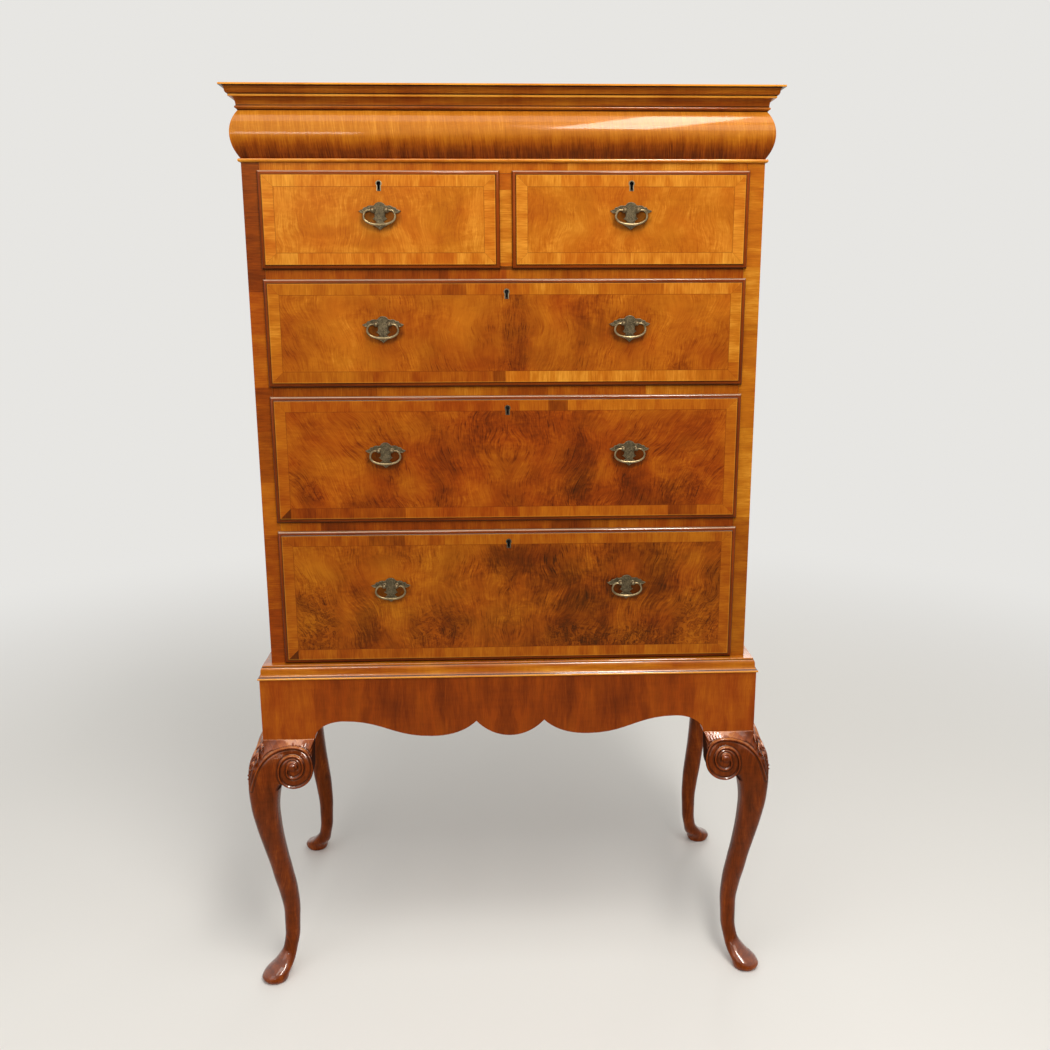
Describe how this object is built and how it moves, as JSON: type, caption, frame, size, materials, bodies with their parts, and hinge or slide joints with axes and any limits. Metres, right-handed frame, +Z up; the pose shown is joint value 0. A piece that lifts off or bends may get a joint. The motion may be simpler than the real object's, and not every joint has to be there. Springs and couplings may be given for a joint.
{
  "type": "chest on stand",
  "caption": "Walnut chest on stand: short and long drawers under a cushion frieze and cornice, on cabriole legs with scroll knees.",
  "frame": {"origin": "on the floor, under the middle of the stand", "axes": "+Z up, +Y towards the back, so the drawers face -Y, and +X to the right seen from the front"},
  "size_m": [0.9576, 0.5376, 1.608],
  "materials": {
    "walnut_veneer": "French-polished walnut veneer, gloss",
    "walnut_crossband": "French-polished crossbanded walnut, gloss",
    "walnut_solid": "French-polished solid walnut, dark, gloss",
    "drawer_lining": "waxed oak, matt",
    "case_lining": "stained pine, matt",
    "brass_plate": "aged brass, dull",
    "brass_bail": "aged brass, worn bright",
    "brass_lock": "brass, satin",
    "steel_bolt": "steel, dull"
  },
  "bodies": {
    "case": {"leg_front_left": "walnut_solid", "leg_front_right": "walnut_solid", "leg_rear_left": "walnut_solid", "leg_rear_right": "walnut_solid", "waist_moulding": "walnut_solid", "top_board": "walnut_solid", "neck_bead": "walnut_solid", "cornice": "walnut_solid", "front_apron": "walnut_veneer", "side_apron_left": "walnut_veneer", "side_apron_right": "walnut_veneer", "case_side_left": "walnut_veneer", "case_side_right": "walnut_veneer", "cushion_frieze": "walnut_veneer", "divider_low": "walnut_crossband", "divider_middle": "walnut_crossband", "divider_high": "walnut_crossband", "bottom_board": "walnut_crossband", "muntin": "walnut_crossband", "top_rail": "walnut_crossband", "stand_back_rail": "case_lining", "back_panel": "case_lining"},
    "drawer_low": {"drawer_low_front": "walnut_veneer", "drawer_low_box": "drawer_lining", "drawer_low_lock": "brass_lock", "plate_low_left": "brass_plate", "plate_low_right": "brass_plate"},
    "drawer_low_bolt_body": {"drawer_low_bolt": "steel_bolt"},
    "bail_low_left_body": {"bail_low_left": "brass_bail"},
    "bail_low_right_body": {"bail_low_right": "brass_bail"},
    "drawer_middle": {"drawer_middle_front": "walnut_veneer", "drawer_middle_box": "drawer_lining", "drawer_middle_lock": "brass_lock", "plate_middle_left": "brass_plate", "plate_middle_right": "brass_plate"},
    "drawer_middle_bolt_body": {"drawer_middle_bolt": "steel_bolt"},
    "bail_middle_left_body": {"bail_middle_left": "brass_bail"},
    "bail_middle_right_body": {"bail_middle_right": "brass_bail"},
    "drawer_high": {"drawer_high_front": "walnut_veneer", "drawer_high_box": "drawer_lining", "drawer_high_lock": "brass_lock", "plate_high_left": "brass_plate", "plate_high_right": "brass_plate"},
    "drawer_high_bolt_body": {"drawer_high_bolt": "steel_bolt"},
    "bail_high_left_body": {"bail_high_left": "brass_bail"},
    "bail_high_right_body": {"bail_high_right": "brass_bail"},
    "drawer_top_left": {"drawer_top_left_front": "walnut_veneer", "drawer_top_left_box": "drawer_lining", "drawer_top_left_lock": "brass_lock", "plate_top_left": "brass_plate"},
    "drawer_top_left_bolt_body": {"drawer_top_left_bolt": "steel_bolt"},
    "bail_top_left_body": {"bail_top_left": "brass_bail"},
    "drawer_top_right": {"drawer_top_right_front": "walnut_veneer", "drawer_top_right_box": "drawer_lining", "drawer_top_right_lock": "brass_lock", "plate_top_right": "brass_plate"},
    "drawer_top_right_bolt_body": {"drawer_top_right_bolt": "steel_bolt"},
    "bail_top_right_body": {"bail_top_right": "brass_bail"}
  },
  "joints": [
    {"name": "drawer_low_slide", "type": "slide", "parent": "case", "child": "drawer_low", "axis": [0, -1, 0], "range_m": [0, 0.3]},
    {"name": "drawer_low_bolt_slide", "type": "slide", "parent": "drawer_low", "child": "drawer_low_bolt_body", "axis": [0, 0, 1], "range_m": [0, 0.007]},
    {"name": "bail_low_left_hinge", "type": "hinge", "parent": "drawer_low", "child": "bail_low_left_body", "pos_m": [-0.21, -0.2386, 0.77607], "axis": [-1, 0, 0], "range_deg": [0, 90]},
    {"name": "bail_low_right_hinge", "type": "hinge", "parent": "drawer_low", "child": "bail_low_right_body", "pos_m": [0.21, -0.2386, 0.77607], "axis": [-1, 0, 0], "range_deg": [0, 90]},
    {"name": "drawer_middle_slide", "type": "slide", "parent": "case", "child": "drawer_middle", "axis": [0, -1, 0], "range_m": [0, 0.3]},
    {"name": "drawer_middle_bolt_slide", "type": "slide", "parent": "drawer_middle", "child": "drawer_middle_bolt_body", "axis": [0, 0, 1], "range_m": [0, 0.007]},
    {"name": "bail_middle_left_hinge", "type": "hinge", "parent": "drawer_middle", "child": "bail_middle_left_body", "pos_m": [-0.211, -0.2386, 1.0176], "axis": [-1, 0, 0], "range_deg": [0, 90]},
    {"name": "bail_middle_right_hinge", "type": "hinge", "parent": "drawer_middle", "child": "bail_middle_right_body", "pos_m": [0.211, -0.2386, 1.0176], "axis": [-1, 0, 0], "range_deg": [0, 90]},
    {"name": "drawer_high_slide", "type": "slide", "parent": "case", "child": "drawer_high", "axis": [0, -1, 0], "range_m": [0, 0.3]},
    {"name": "drawer_high_bolt_slide", "type": "slide", "parent": "drawer_high", "child": "drawer_high_bolt_body", "axis": [0, 0, 1], "range_m": [0, 0.007]},
    {"name": "bail_high_left_hinge", "type": "hinge", "parent": "drawer_high", "child": "bail_high_left_body", "pos_m": [-0.208, -0.2386, 1.23107], "axis": [-1, 0, 0], "range_deg": [0, 90]},
    {"name": "bail_high_right_hinge", "type": "hinge", "parent": "drawer_high", "child": "bail_high_right_body", "pos_m": [0.208, -0.2386, 1.23107], "axis": [-1, 0, 0], "range_deg": [0, 90]},
    {"name": "drawer_top_left_slide", "type": "slide", "parent": "case", "child": "drawer_top_left", "axis": [0, -1, 0], "range_m": [0, 0.3]},
    {"name": "drawer_top_left_bolt_slide", "type": "slide", "parent": "drawer_top_left", "child": "drawer_top_left_bolt_body", "axis": [0, 0, 1], "range_m": [0, 0.007]},
    {"name": "bail_top_left_hinge", "type": "hinge", "parent": "drawer_top_left", "child": "bail_top_left_body", "pos_m": [-0.207, -0.2386, 1.41441], "axis": [-1, 0, 0], "range_deg": [0, 90]},
    {"name": "drawer_top_right_slide", "type": "slide", "parent": "case", "child": "drawer_top_right", "axis": [0, -1, 0], "range_m": [0, 0.3]},
    {"name": "drawer_top_right_bolt_slide", "type": "slide", "parent": "drawer_top_right", "child": "drawer_top_right_bolt_body", "axis": [0, 0, 1], "range_m": [0, 0.007]},
    {"name": "bail_top_right_hinge", "type": "hinge", "parent": "drawer_top_right", "child": "bail_top_right_body", "pos_m": [0.207, -0.2386, 1.41441], "axis": [-1, 0, 0], "range_deg": [0, 90]}
  ]
}
